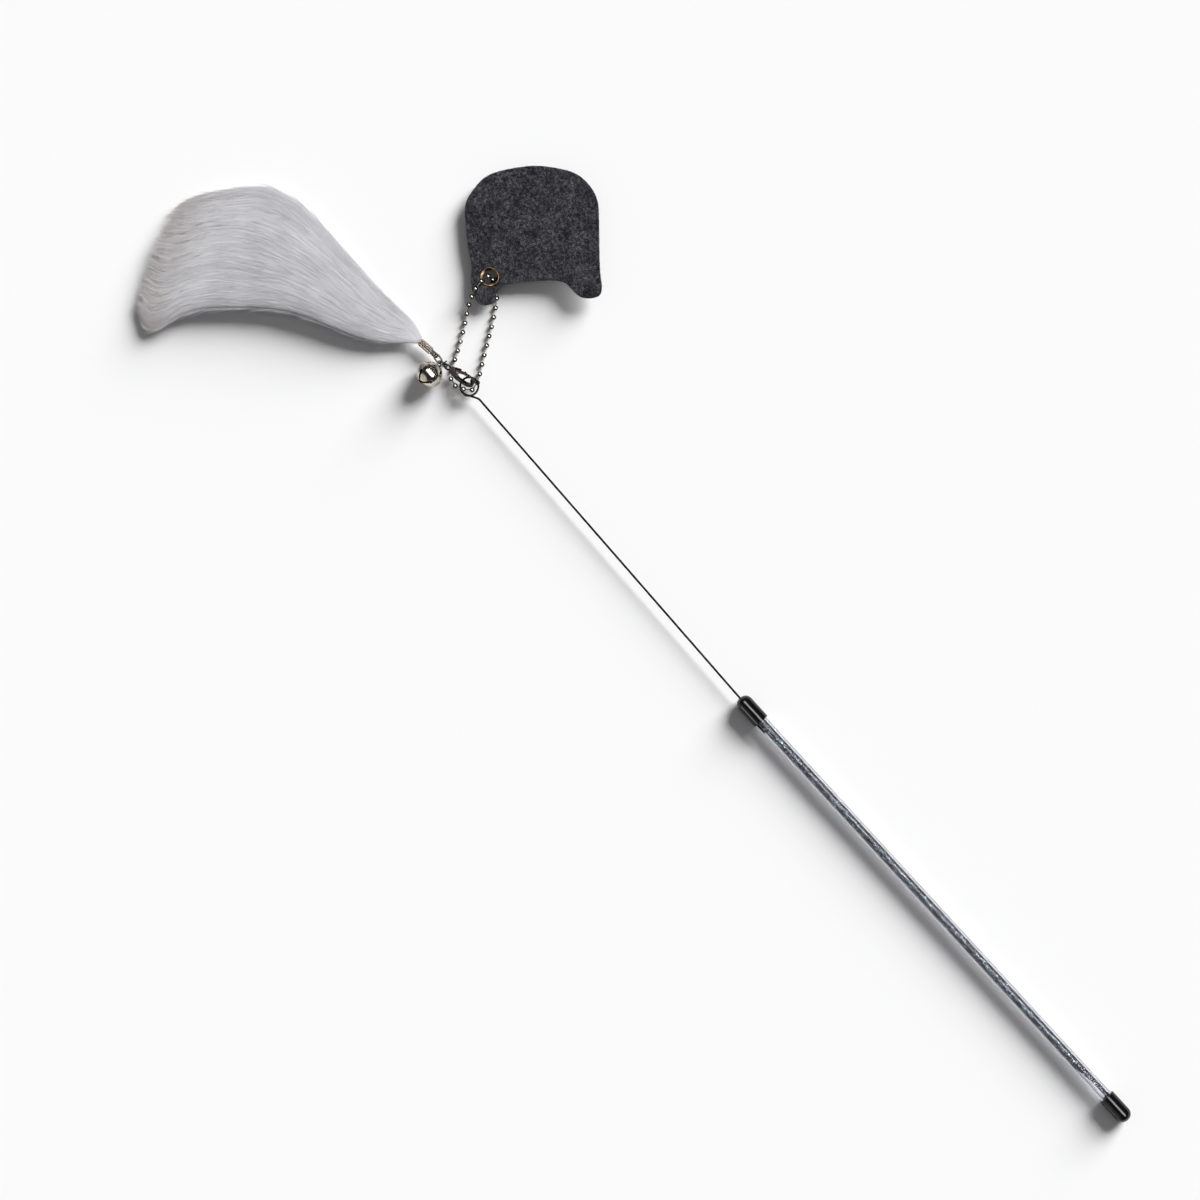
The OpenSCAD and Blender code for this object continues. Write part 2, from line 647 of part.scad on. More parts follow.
// Plume: ovals between its two edges, lying on the floor away from the root
function plume_points() =
    let (n = len(plume_edge_shares), root = floor_z - tab_at[2])
    [for (i = [0:n - 1])
        let (
            upper = plume_edge_shares[i][0] * tail_l,
            lower = plume_edge_shares[i][1] * tail_l,
            middle = (upper + lower) / 2,
            reach = (lower - upper) / 2,
            half_t = min(plume_thick_shares[i] * tail_t / 2, norm(reach) * 1.4),
            settle = pow(1 - i / (n - 1), 8),
            height = (root + half_t) * (1 - settle))
        for (s = [0:plume_sides - 1])
            let (a = 360 * s / plume_sides)
            [middle[0] + reach[0] * cos(a), middle[1] + reach[1] * cos(a), height + half_t * sin(a)]];

module tail_fur() {
    n = len(plume_edge_shares);
    color([0.88, 0.88, 0.9]) place_ferrule() difference() {
        translate([tab_l + ferrule_l + rest_gap, 0, 0])
            polyhedron(plume_points(), ring_faces(n, plume_sides));
        translate([tab_l + ferrule_l - cut_over, 0, 0])
            bar_x(core_r + seat_gap, core_l + cut_over + rest_gap);
    }
}

// Hollow bead with a hole towards each neighbour, or a wide mouth where the chain folds
module bead(i) {
    back = chain_points[(i + bead_count - 1) % bead_count] - chain_points[i];
    ahead = chain_points[(i + 1) % bead_count] - chain_points[i];
    translate(chain_points[i]) difference() {
        aim(ahead - back) rotate([90, 0, 0]) sphere(r = bead_r);
        aim(ahead - back) rotate([90, 0, 0]) sphere(r = bead_in_r);
        if (i != closing_bead + 1) bead_hole(back, i == fold_near[0] || i == fold_far[0]);
        if (i != closing_bead) bead_hole(ahead, i == fold_near[1] || i == fold_far[1]);
    }
}

module bead_hole(towards, opens) {
    start = bead_in_r * 0.6;
    start_r = opens ? link_r + start * tan(fold_angle) : bead_hole_r;
    mouth_r = opens ? link_r + (start + bead_d) * tan(fold_angle) : bead_hole_r;
    aim(towards) translate([0, 0, start]) cylinder(r1 = start_r, r2 = mouth_r, h = bead_d);
}

// Link from bead i to the next, with a round head in each. At a folding bead the link that turns has its
// head in the bead's middle, and the other one ends short of it.
module chain_link(i) {
    from = chain_points[i];
    to = chain_points[(i + 1) % bead_count];
    run = norm(to - from);
    start_turns = i == fold_near[1] || i == fold_far[1];
    far_turns = i + 1 == fold_near[0] || i + 1 == fold_far[0];
    start_short = i == fold_near[0] || i == fold_far[0];
    far_short = i + 1 == fold_near[1] || i + 1 == fold_far[1];
    start = start_turns ? 0 : (start_short ? link_short_at : link_head_at);
    far = run - (far_turns ? 0 : (far_short ? link_short_at : link_head_at));
    translate(from) aim(to - from) {
        translate([0, 0, start]) cylinder(r = link_r, h = far - start, $fn = 24);
        if (!start_short) translate([0, 0, start]) sphere(r = link_head_r, $fn = 24);
        if (!far_short) translate([0, 0, far]) sphere(r = link_head_r, $fn = 24);
    }
}

module chain_beads_eye() {
    color([0.45, 0.43, 0.42]) for (i = [fold_near[0]:fold_near[1]]) bead(i);
}

module chain_links_eye() {
    color([0.4, 0.39, 0.38]) for (i = [fold_near[0]:fold_near[1] - 1]) chain_link(i);
}

module chain_beads_middle() {
    color([0.45, 0.43, 0.42]) {
        for (i = [fold_far[0]:fold_near[0] - 1]) bead(i);
        for (i = [fold_near[1] + 1:fold_far[1]]) bead(i);
    }
}

module chain_links_middle() {
    color([0.4, 0.39, 0.38]) {
        for (i = [fold_far[0]:fold_near[0] - 1]) chain_link(i);
        for (i = [fold_near[1]:fold_far[1] - 1]) chain_link(i);
    }
}

module chain_beads_tag() {
    color([0.45, 0.43, 0.42]) {
        for (i = [0:fold_far[0] - 1]) bead(i);
        for (i = [fold_far[1] + 1:bead_count - 1]) bead(i);
    }
}

module chain_links_tag() {
    color([0.4, 0.39, 0.38]) {
        for (i = [0:fold_far[0] - 1]) chain_link(i);
        for (i = [fold_far[1]:bead_count - 1]) if (i != closing_bead) chain_link(i);
    }
}

// Snap sleeve round the two closing beads, slotted along its upper side
module chain_connector() {
    from = chain_points[closing_bead];
    run = chain_points[closing_bead + 1] - from;
    in_r = bead_r + sleeve_gap;
    sleeve_l = norm(run) + bead_d * 0.7;
    color([0.5, 0.48, 0.46]) translate(from) rotate([0, 0, atan2(run[1], run[0])])
        translate([-bead_d * 0.35, 0, 0]) difference() {
            bar_x(in_r + sleeve_wall, sleeve_l);
            translate([-cut_over, 0, 0]) bar_x(in_r, sleeve_l + 2 * cut_over);
            translate([-cut_over, -sleeve_slot_w / 2, 0])
                cube([sleeve_l + 2 * cut_over, sleeve_slot_w, bead_d]);
        }
}

// Outline of the tag in its own frame
function tag_outline() = [for (p = smooth_outline(tag_outline_shares, outline_steps))
    [(p[0] - tag_left_share) * tag_w, (p[1] - tag_low_share) * tag_h]];

module felt_tag() {
    color([0.24, 0.24, 0.26]) place_tag() difference() {
        linear_extrude(felt_t) polygon(tag_outline());
        translate([0, 0, -cut_over]) cylinder(r = eyelet_neck_r + seat_gap, h = felt_t + 2 * cut_over);
    }
}

// Barrel and rolled front flange
module eyelet() {
    roll_r = eyelet_t / 2;
    color([0.5, 0.4, 0.28]) place_tag() rotate_extrude() union() {
        translate([eyelet_hole_r, -washer_t - seat_gap]) square([eyelet_t, felt_t + washer_t + seat_gap * 2]);
        translate([eyelet_hole_r, felt_t + seat_gap]) square([eyelet_r - eyelet_hole_r - roll_r, eyelet_t]);
        translate([eyelet_r - roll_r, felt_t + seat_gap + roll_r]) circle(r = roll_r, $fn = 24);
    }
}

module eyelet_washer() {
    color([0.5, 0.4, 0.28]) place_tag() translate([0, 0, -washer_t - seat_gap]) difference() {
        cylinder(r = eyelet_r, h = washer_t);
        translate([0, 0, -cut_over]) cylinder(r = eyelet_neck_r + seat_gap, h = washer_t + 2 * cut_over);
    }
}

handle_tube();
glitter_film();
glitter_flakes();
rear_cap();
front_cap();
wand_wire();
clasp_body();
clasp_trigger();
clasp_pin();
clasp_spring();
jump_ring();
oval_link();
bell_upper();
bell_lower();
bell_loop();
bell_pea();
ferrule();
tail_core();
tail_fur();
chain_beads_eye();
chain_links_eye();
chain_beads_middle();
chain_links_middle();
chain_beads_tag();
chain_links_tag();
chain_connector();
felt_tag();
eyelet();
eyelet_washer();
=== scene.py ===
# cat teaser wand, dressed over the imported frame
# everything is in metres, +X runs from the butt to the lure, and the paper lies at z = -4 mm
import math

import bmesh
import bpy
import numpy as np
from mathutils import Matrix, Vector, noise


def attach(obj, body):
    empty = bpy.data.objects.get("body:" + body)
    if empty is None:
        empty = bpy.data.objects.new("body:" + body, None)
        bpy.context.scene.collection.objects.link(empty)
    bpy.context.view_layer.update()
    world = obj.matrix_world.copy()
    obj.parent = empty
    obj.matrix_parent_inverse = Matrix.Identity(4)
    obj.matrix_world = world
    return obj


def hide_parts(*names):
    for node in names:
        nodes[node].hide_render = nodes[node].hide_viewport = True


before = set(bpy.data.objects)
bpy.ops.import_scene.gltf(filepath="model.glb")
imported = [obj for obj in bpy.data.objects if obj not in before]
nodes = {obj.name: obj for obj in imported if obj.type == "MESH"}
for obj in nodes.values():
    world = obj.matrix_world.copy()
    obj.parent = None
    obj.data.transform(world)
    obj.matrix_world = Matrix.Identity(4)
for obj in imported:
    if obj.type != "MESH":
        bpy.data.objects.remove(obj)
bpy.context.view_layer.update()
mm = 0.001
paperLevel = -4 * mm

# camera: the photo is taken from straight above, turned so that the wand runs across the frame
shot = {
    "aim": (340.3 * mm, 17.2 * mm, 0),
    "right": (-0.676861, -0.736111, 0),
    "up": (0.736111, -0.676861, 0),
    "lens": 135,
    "sensor": 36,
    "width": 564 * mm,  # seen from left to right
}


def aimCamera():
    data = bpy.data.cameras.new("cam")
    data.lens = shot["lens"]
    data.sensor_width = shot["sensor"]
    data.clip_start = 0.01
    cam = bpy.data.objects.new("cam", data)
    bpy.context.scene.collection.objects.link(cam)
    right = Vector(shot["right"])
    up = Vector(shot["up"])
    back = right.cross(up)
    pose = Matrix((right, up, back)).transposed().to_4x4()
    pose.translation = Vector(shot["aim"]) + back * shot["width"] * shot["lens"] / shot["sensor"]
    cam.matrix_world = pose
    bpy.context.scene.camera = cam


aimCamera()
bpy.context.scene.view_settings.view_transform = "Standard"
print("camera aimed")


# node helpers
def newTree(name):
    mat = bpy.data.materials.new(name)
    mat.use_nodes = True
    tree = mat.node_tree
    tree.nodes.clear()
    out = tree.nodes.new("ShaderNodeOutputMaterial")
    bsdf = tree.nodes.new("ShaderNodeBsdfPrincipled")
    tree.links.new(bsdf.outputs[0], out.inputs[0])
    return mat, tree, bsdf


def put(tree, kind, inputs=None, **props):
    node = tree.nodes.new("ShaderNode" + kind)
    for key, value in props.items():
        setattr(node, key, value)
    for key, value in (inputs or {}).items():
        socket = node.inputs[key]
        if isinstance(value, bpy.types.NodeSocket):
            tree.links.new(value, socket)
        else:
            socket.default_value = value
    return node


def ramp(tree, fac, stops):
    node = put(tree, "ValToRGB", {"Fac": fac})
    bar = node.color_ramp.elements
    while len(bar) < len(stops):
        bar.new(0.5)
    for el, (pos, col) in zip(bar, stops):
        el.position = pos
        el.color = (*col, 1) if isinstance(col, tuple) else (col, col, col, 1)
    return node.outputs["Color"]


def span(tree, value, low, high):
    return put(tree, "MapRange", {"Value": value, "To Min": low, "To Max": high}).outputs["Result"]


def calc(tree, kind, first, second=0.0):
    return put(tree, "Math", {0: first, 1: second}, operation=kind).outputs["Value"]


def dot(tree, first, second):
    return put(tree, "VectorMath", {0: first, 1: second}, operation="DOT_PRODUCT").outputs["Value"]


def mixed(tree, share, under, over, kind="MIX"):
    inputs = {"Fac": share, "Color1": under, "Color2": over}
    return put(tree, "MixRGB", inputs, blend_type=kind).outputs["Color"]


def coords(tree, scale=(1, 1, 1), turn=(0, 0, 0)):
    at = put(tree, "TexCoord").outputs["Object"]
    return put(tree, "Mapping", {"Vector": at, "Scale": scale, "Rotation": turn}).outputs["Vector"]


def grain(tree, at, size, detail=4, rough=0.6, warp=0):
    inputs = {"Vector": at, "Scale": 1 / size, "Detail": detail, "Roughness": rough, "Distortion": warp}
    return put(tree, "TexNoise", inputs).outputs["Fac"]


def bump(tree, bsdf, height, depth, strength=1):
    node = put(tree, "Bump", {"Height": height, "Distance": depth, "Strength": strength})
    tree.links.new(node.outputs["Normal"], bsdf.inputs["Normal"])
    return node


def dress(name, mat):
    data = nodes[name].data
    data.materials.clear()
    data.materials.append(mat)
    for poly in data.polygons:
        poly.material_index = 0


def meshObject(name, points, faces, mat, tone=None):
    data = bpy.data.meshes.new(name)
    data.from_pydata(np.asarray(points).tolist(), [], faces.tolist() if hasattr(faces, "tolist") else faces)
    data.materials.append(mat)
    if tone is not None:
        values = np.asarray(tone, np.float32).ravel()
        data.attributes.new("tone", "FLOAT", "POINT").data.foreach_set("value", values)
    data.shade_smooth()
    obj = bpy.data.objects.new(name, data)
    bpy.context.scene.collection.objects.link(obj)
    return obj


def unit(ways):
    return ways / (np.linalg.norm(ways, axis=-1, keepdims=True) + 1e-9)


# metals: one recipe, each piece brings its own tint, polish and wear
marks = {
    "cloud": 1.8 * mm,  # patches of tarnish
    "fine": 0.1 * mm,
    "pit": 0.012 * mm,  # depth of the dents
}
metals = {
    "clasp": {"tint": (0.07, 0.055, 0.05), "worn": (0.5, 0.45, 0.42), "polish": (0.12, 0.26),
              "edge": 0.14 * mm},
    "link": {"tint": (0.14, 0.118, 0.105), "worn": (0.62, 0.56, 0.5), "polish": (0.12, 0.26)},
    "bell": {"tint": (0.66, 0.61, 0.54), "worn": (0.88, 0.85, 0.8), "polish": (0.06, 0.13),
             "tarnish": 0.3, "edge": 0.12 * mm},
    "ferrule": {"tint": (0.30, 0.25, 0.225), "worn": (0.75, 0.7, 0.65), "polish": (0.14, 0.28),
                "edge": 0.1 * mm},
    # the bead's colour carries a painted highlight in its middle and painted shade towards its outline
    "bead": {"tint": (0.62, 0.56, 0.53), "worn": (0.8, 0.76, 0.72), "polish": (0.2, 0.28),
             "rim": [(0.07, 1.0), (0.18, 0.26), (0.36, 0.08)]},
    "dumbbell": {"tint": (0.3, 0.27, 0.25), "worn": (0.5, 0.45, 0.42), "polish": (0.2, 0.35)},
    "brass": {"tint": (0.17, 0.12, 0.07), "worn": (0.5, 0.4, 0.28), "polish": (0.14, 0.3), "tarnish": 0.6},
    "steel": {"tint": (0.42, 0.41, 0.4), "worn": (0.7, 0.7, 0.7), "polish": (0.2, 0.35), "edge": 0.08 * mm},
}
wearers = {
    "clasp": ["clasp_body", "clasp_trigger"],
    "link": ["jump_ring", "oval_link", "bell_loop"],
    "bell": ["bell_upper", "bell_lower"],
    "ferrule": ["ferrule"],
    "bead": ["chain_beads_eye", "chain_beads_middle", "chain_beads_tag", "chain_connector"],
    "dumbbell": ["chain_links_eye", "chain_links_middle", "chain_links_tag"],
    "brass": ["eyelet", "eyelet_washer"],
    "steel": ["clasp_pin", "clasp_spring", "bell_pea"],
}


def metal(name, tint, worn, polish, tarnish=0.35, edge=0, rim=None):
    mat, tree, bsdf = newTree(name)
    at = coords(tree)
    cloud = grain(tree, at, marks["cloud"], 5)
    fine = grain(tree, at, marks["fine"], 3)
    dull = tuple(c * (1 - tarnish) for c in tint)
    base = ramp(tree, cloud, [(0.3, dull), (0.62, tint)])
    dents = bump(tree, bsdf, calc(tree, "ADD", cloud, fine), marks["pit"], 0.6)
    if edge:  # sharp rims are eased and rubbed brighter
        eased = put(tree, "Bevel", {"Radius": edge}, samples=4).outputs["Normal"]
        turn = dot(tree, eased, put(tree, "NewGeometry").outputs["Normal"])
        spot = calc(tree, "ADD", turn, span(tree, cloud, -0.02, 0.02))
        rub = ramp(tree, spot, [(0.9, 1.0), (0.985, 0.0)])
        tree.links.new(eased, dents.inputs["Normal"])
    else:
        rub = ramp(tree, fine, [(0.66, 0.0), (0.8, 0.6)])
    base = mixed(tree, rub, base, (*worn, 1))
    # painted shade and painted highlight: the colour darkens towards the outline as the surface turns from
    # the view, so the middle stays bright
    if rim:  # darker where the surface turns away
        facing = put(tree, "LayerWeight", {"Blend": 0.5}).outputs["Facing"]
        base = mixed(tree, 1.0, base, ramp(tree, facing, rim), "MULTIPLY")
    tree.links.new(base, bsdf.inputs["Base Color"])
    bsdf.inputs["Metallic"].default_value = 1
    tree.links.new(span(tree, cloud, *polish), bsdf.inputs["Roughness"])
    return mat


finish = {key: metal(key + "Metal", **spec) for key, spec in metals.items()}
for key, names in wearers.items():
    for name in names:
        dress(name, finish[key])
print("metals on")


# handle: clear tube, black caps and wire
handle = {
    "clear": (0.82, 0.82, 0.845, 1),
    "gloss": (0.26, 0.26, 0.28, 1),
    "scuff": (0.0, 0.05),
    "milk": [(0.25, 0.0), (0.42, 0.6)],  # share of haze, more where the wall is seen edge on
    "milkLit": (0.1, 0.1, 0.107, 1),
    "milkThrough": (0.5, 0.5, 0.53, 1),
    "shadow": (0.76, 0.76, 0.77, 1),
    "vinyl": (0.004, 0.004, 0.0045),
    "vinylDust": (0.04, 0.04, 0.042),
    "coat": (0.004, 0.004, 0.0045),
    "coatWorn": (0.03, 0.027, 0.024),
}


def clearPlastic():
    mat, tree, bsdf = newTree("clearPlastic")
    streak = grain(tree, coords(tree, (0.02, 1, 1)), 0.5 * mm, 3)
    scuff = grain(tree, coords(tree, (0.3, 1, 1)), 0.9 * mm, 6, 0.7)
    bsdf.inputs["Base Color"].default_value = handle["clear"]
    bsdf.inputs["Specular Tint"].default_value = handle["gloss"]
    bsdf.inputs["Transmission Weight"].default_value = 1
    bsdf.inputs["IOR"].default_value = 1.47
    tree.links.new(span(tree, scuff, *handle["scuff"]), bsdf.inputs["Roughness"])
    bump(tree, bsdf, streak, 0.003 * mm)
    # light from behind shows in the milky edge of the wall
    facing = put(tree, "LayerWeight", {"Blend": 0.5}).outputs["Facing"]
    milk = ramp(tree, facing, handle["milk"])
    lit = put(tree, "BsdfDiffuse", {"Color": handle["milkLit"]}).outputs[0]
    through = put(tree, "BsdfTranslucent", {"Color": handle["milkThrough"]}).outputs[0]
    haze = put(tree, "AddShader", {0: lit, 1: through}).outputs[0]
    wall = put(tree, "MixShader", {0: milk, 1: bsdf.outputs[0], 2: haze}).outputs[0]
    # its shadow on the paper is a pale one
    clear = put(tree, "BsdfTransparent", {"Color": handle["shadow"]}).outputs[0]
    shadow = put(tree, "LightPath").outputs["Is Shadow Ray"]
    both = put(tree, "MixShader", {0: shadow, 1: wall, 2: clear}).outputs[0]
    tree.links.new(both, tree.nodes["Material Output"].inputs[0])
    return mat


def vinyl():
    mat, tree, bsdf = newTree("vinyl")
    at = coords(tree)
    dust = grain(tree, at, 0.25 * mm, 6, 0.75)
    soft = grain(tree, at, 2.2 * mm, 3)
    base = ramp(tree, dust, [(0.68, handle["vinyl"]), (0.84, handle["vinylDust"])])
    tree.links.new(base, bsdf.inputs["Base Color"])
    tree.links.new(span(tree, soft, 0.08, 0.17), bsdf.inputs["Roughness"])
    bsdf.inputs["IOR"].default_value = 1.46
    bump(tree, bsdf, soft, 0.12 * mm, 0.5)
    return mat


def wireCoat():
    mat, tree, bsdf = newTree("wireCoat")
    rub = grain(tree, coords(tree, (0.15, 1, 1)), 0.3 * mm, 5)
    base = ramp(tree, rub, [(0.6, handle["coat"]), (0.85, handle["coatWorn"])])
    tree.links.new(base, bsdf.inputs["Base Color"])
    tree.links.new(span(tree, rub, 0.28, 0.5), bsdf.inputs["Roughness"])
    bsdf.inputs["Specular IOR Level"].default_value = 0.1
    bump(tree, bsdf, rub, 0.02 * mm, 0.5)
    return mat


dress("handle_tube", clearPlastic())
capMat = vinyl()
dress("rear_cap", capMat)
dress("front_cap", capMat)
dress("wand_wire", wireCoat())
print("handle dressed")


# glitter film: a loose roll in the bore, cut slantwise by the rear cap, covered in flakes
film = {
    "from": -3.5 * mm,
    "to": 254.5 * mm,
    "radius": 1.95 * mm,
    "bore": 2.2 * mm,
    "thick": 0.08 * mm,
    "flat": 0.86,  # height of its upper half against its width
    "open": math.radians(160),  # the roll is open underneath
    "lean": math.radians(25),
    "slant": 30 * mm,
    "narrow": -0.72,  # how far the slanted end reaches across, as a share of the radius
    "rows": 240,
    "around": 36,
    "flakes": 6400,
    "size": (0.13, 0.30),
    "spread": 1.0,  # of the flakes round the top of the roll, and how far they go, as angles
    "limit": 1.9,
    "tilt": 0.24,
    "gap": 0.05 * mm,
    "rag": 0.05 * mm,
    "ragSize": 2.4 * mm,
    "seed": 3,
    "base": [(0.0, (0.03, 0.031, 0.036)), (1.0, (0.1, 0.103, 0.115))],
    "tones": [(0.0, (0.008, 0.0085, 0.011)), (0.5, (0.02, 0.021, 0.026)), (0.6, (0.04, 0.043, 0.052)),
              (0.76, (0.09, 0.097, 0.11)), (0.81, (0.75, 0.78, 0.82)), (0.95, (0.4, 0.75, 0.8)),
              (1.0, (0.8, 0.6, 0.66))],
}

# flakes that fell off: a wisp towards the rear cap, few elsewhere; angles from the bottom of the bore
fallen = {
    "count": 520,
    "size": (0.12, 0.27),
    "seed": 4,
    "inWisp": 0.62,
    "wisp": 42 * mm,
    "wispAt": (-34, 16),
    "restAt": -62,
    "otherSide": 0.25,
    "otherAt": (88, 150),
    "sunk": 0.07 * mm,
}


def glitterMaterial(name, metallic, tones):
    # tone is one value per flake
    mat, tree, bsdf = newTree(name)
    tone = put(tree, "Attribute", attribute_name="tone").outputs["Fac"]
    tree.links.new(ramp(tree, tone, tones), bsdf.inputs["Base Color"])
    bsdf.inputs["Metallic"].default_value = metallic
    speck = grain(tree, coords(tree), 0.3 * mm, 3)
    tree.links.new(span(tree, speck, 0.12, 0.4), bsdf.inputs["Roughness"])
    bump(tree, bsdf, speck, 0.02 * mm)
    return mat


filmMat = glitterMaterial("filmBase", 0.5, film["base"])
flakeMat = glitterMaterial("flakes", 0.85, film["tones"])


def filmPoint(x, a, out=0.0):
    # a turns round the roll, zero on top
    ca = np.cos(a)
    y = (film["radius"] + out) * np.sin(a)
    z = (film["radius"] + out) * np.sign(ca) * np.abs(ca) ** 0.8 * np.where(ca > 0, film["flat"], 1.0)
    z = z + film["radius"] + film["gap"] - film["bore"]
    cl = math.cos(film["lean"])
    sl = math.sin(film["lean"])
    return np.stack([x, y * cl - z * sl, y * sl + z * cl], -1)


def filmReach(x):
    # how far the roll still reaches across towards +Y at x, as an angle
    share = np.clip((x - film["from"]) / film["slant"], 0, 1)
    return np.arcsin(np.clip(film["narrow"] + share * (1 - film["narrow"]), -1, 1))


def glitterFilm():
    rows = film["rows"]
    n = film["around"]
    x = np.linspace(film["from"], film["to"], rows)[:, None] * np.ones(n)
    full = film["open"]
    most = np.where(filmReach(x) > math.pi / 2 - 0.01, full, filmReach(x))
    a = -full + np.linspace(0, 1, n)[None, :] * (most + full)
    spots = [Vector((u / film["ragSize"], v * 2.2, 0.7)) for u, v in zip(x.ravel(), a.ravel())]
    rag = np.array([noise.fractal(spot, 0.8, 2.0, 3) for spot in spots]).reshape(rows, n)
    points = filmPoint(x, a, (rag - 1) * film["rag"])
    faces = [(i * n + j, (i + 1) * n + j, (i + 1) * n + j + 1, i * n + j + 1)
             for i in range(rows - 1) for j in range(n - 1)]
    obj = meshObject("film_roll", points.reshape(-1, 3), faces, filmMat, np.clip(rag + 0.5, 0, 1))
    thick = obj.modifiers.new("thick", "SOLIDIFY")
    thick.thickness = film["thick"]
    return obj


def hexagons(name, at, way, size, tone, rng):
    # one flat flake per place
    u = unit(np.cross(way, rng.normal(size=at.shape)))
    v = np.cross(way, u)
    a = np.arange(6) * math.pi / 3
    ring = np.cos(a)[None, :, None] * u[:, None, :] + np.sin(a)[None, :, None] * v[:, None, :]
    ring = at[:, None, :] + size[:, None, None] * ring
    faces = np.arange(len(at) * 6).reshape(-1, 6)
    obj = meshObject(name, ring.reshape(-1, 3), faces, flakeMat, np.repeat(tone, 6))
    obj.data.shade_flat()
    return obj


def filmFlakes():
    rng = np.random.default_rng(film["seed"])
    count = film["flakes"]
    x = rng.uniform(film["from"] + 1 * mm, film["to"], count)
    a = np.clip(rng.normal(0, film["spread"], count), -film["limit"], film["limit"])
    keep = a < filmReach(x)
    x = x[keep]
    a = a[keep]
    at = filmPoint(x, a, rng.uniform(0.0, 0.05, len(x)) * mm)
    way = unit(filmPoint(x, a, 1 * mm) - filmPoint(x, a))
    way = unit(way + rng.normal(0, film["tilt"], way.shape))
    size = rng.uniform(*film["size"], len(x)) * mm
    return hexagons("film_flakes", at, way, size, rng.random(len(x)), rng)


def looseFlakes():
    rng = np.random.default_rng(fallen["seed"])
    count = fallen["count"]
    inWisp = rng.random(count) < fallen["inWisp"]
    x = np.where(inWisp, rng.gamma(2.2, 7.5, count) + 8, rng.uniform(12, 250, count)) * mm
    x = np.minimum(film["from"] + x, film["to"])
    wisp = np.clip(1 - (x - film["from"]) / fallen["wisp"], 0, 1)
    low = rng.normal(*fallen["wispAt"], count) * wisp
    low = low + fallen["restAt"] * (1 - wisp) * rng.uniform(0.8, 1.5, count)
    swap = rng.random(count) < fallen["otherSide"]
    low = np.radians(np.where(swap, rng.uniform(*fallen["otherAt"], count), low))
    size = rng.uniform(*fallen["size"], count) * mm
    r = film["bore"] - fallen["sunk"] - size * 0.12
    at = np.stack([x, r * np.sin(low), -r * np.cos(low)], -1)
    way = np.stack([np.zeros(count), -np.sin(low), np.cos(low)], -1)
    way = unit(way + rng.normal(0, 0.05, (count, 3)))
    return hexagons("loose_flakes", at, way, size, rng.uniform(0.74, 1, count), rng)


roll = glitterFilm()
specks = filmFlakes()
loose = looseFlakes()
for obj, slot in ((roll, "glitter_film"), (specks, "glitter_film"), (loose, "glitter_flakes")):
    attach(obj, "handle")
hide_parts("glitter_film")
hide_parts("glitter_flakes")
print("film rolled:", len(specks.data.polygons) + len(loose.data.polygons), "flakes")


# fur tail: a soft lofted body with strands combed over it
# its outlines are seen from above, in shares of the length
plume = {
    "root": (487.23 * mm, -2.68 * mm, -0.01 * mm),
    "heading": math.radians(6),
    "length": 130 * mm,
    "thick": 13 * mm,
    "upper": [(0.0, -0.014), (0.058, -0.038), (0.154, -0.040), (0.281, -0.047), (0.415, -0.062),
              (0.540, -0.079), (0.655, -0.086), (0.774, -0.055), (0.849, 0.019), (0.919, 0.105),
              (0.968, 0.178)],
    "lower": [(0.0, 0.012), (0.030, 0.032), (0.095, 0.092), (0.168, 0.134), (0.260, 0.168),
              (0.354, 0.198), (0.447, 0.243), (0.519, 0.295), (0.590, 0.357), (0.670, 0.430),
              (0.716, 0.506), (0.732, 0.572), (0.764, 0.616), (0.822, 0.594)],
    "end": [(0.968, 0.178), (0.984, 0.240), (0.967, 0.324), (0.925, 0.419), (0.893, 0.483),
            (0.856, 0.556), (0.822, 0.594)],
    "height": ([0, 0.04, 0.12, 0.24, 0.4, 0.55, 0.7, 0.84, 0.93, 1.0],
               [0.24, 0.34, 0.54, 0.75, 0.93, 1.0, 0.97, 0.84, 0.62, 0.34]),
    "steps": 240,
    "easing": 24,  # rounds that soften the corners of an outline
    "rows": 90,
    "around": 72,
    "bodyEnd": 0.955,  # the soft body stops short of the strands, along and across
    "bodyHalf": 0.455,
    "sunk": 0.5 * mm,
    "onTop": 0.8,  # share of the strands, the others lie underneath
    "locks": 150,
    "lockEnds": 0.010,
    "gatherFrom": 0.72,
    "gatherOver": 0.32,
    "gathered": 0.7,
    "rings": 6,  # along one strand
    "taper": (0.55, 1, 1, 0.8, 0.5, 0.05),
    # past this share some strands are painted dark as shade in the gaps between locks
    "gapShadeFrom": 0.78,  # past this share of the length some strands are dark
}


def smoothLine(points):
    # even steps along a polyline, its corners eased
    points = np.array(points, float)
    step = np.r_[0, np.cumsum(np.linalg.norm(np.diff(points, axis=0), axis=1))]
    at = np.linspace(0, step[-1], plume["steps"])
    line = np.stack([np.interp(at, step, points[:, k]) for k in range(2)], 1)
    for _ in range(plume["easing"]):
        line[1:-1] = line[1:-1] * 0.5 + (line[:-2] + line[2:]) * 0.25
    return line


upperEdge = smoothLine(plume["upper"])
lowerEdge = smoothLine(plume["lower"])
endEdge = smoothLine(plume["end"])


def along(line, t):
    at = np.clip(t, 0, 1) * (len(line) - 1)
    grid = np.arange(len(line))
    return np.stack([np.interp(at, grid, line[:, k]) for k in range(2)], -1)


def fieldPoint(t, f):
    # t runs from the root to the loose end, f from the upper edge to the lower one
    tIn = np.minimum(t, 1)
    fIn = np.clip(f, 0, 1)
    share = f[..., None]
    flat = (1 - share) * along(upperEdge, tIn) + share * along(lowerEdge, tIn)
    square = (1 - share) * upperEdge[-1] + share * lowerEdge[-1]
    bulge = along(endEdge, fIn) + (f - fIn)[..., None] * (lowerEdge[-1] - upperEdge[-1]) - square
    return flat + (tIn ** 2)[..., None] * bulge


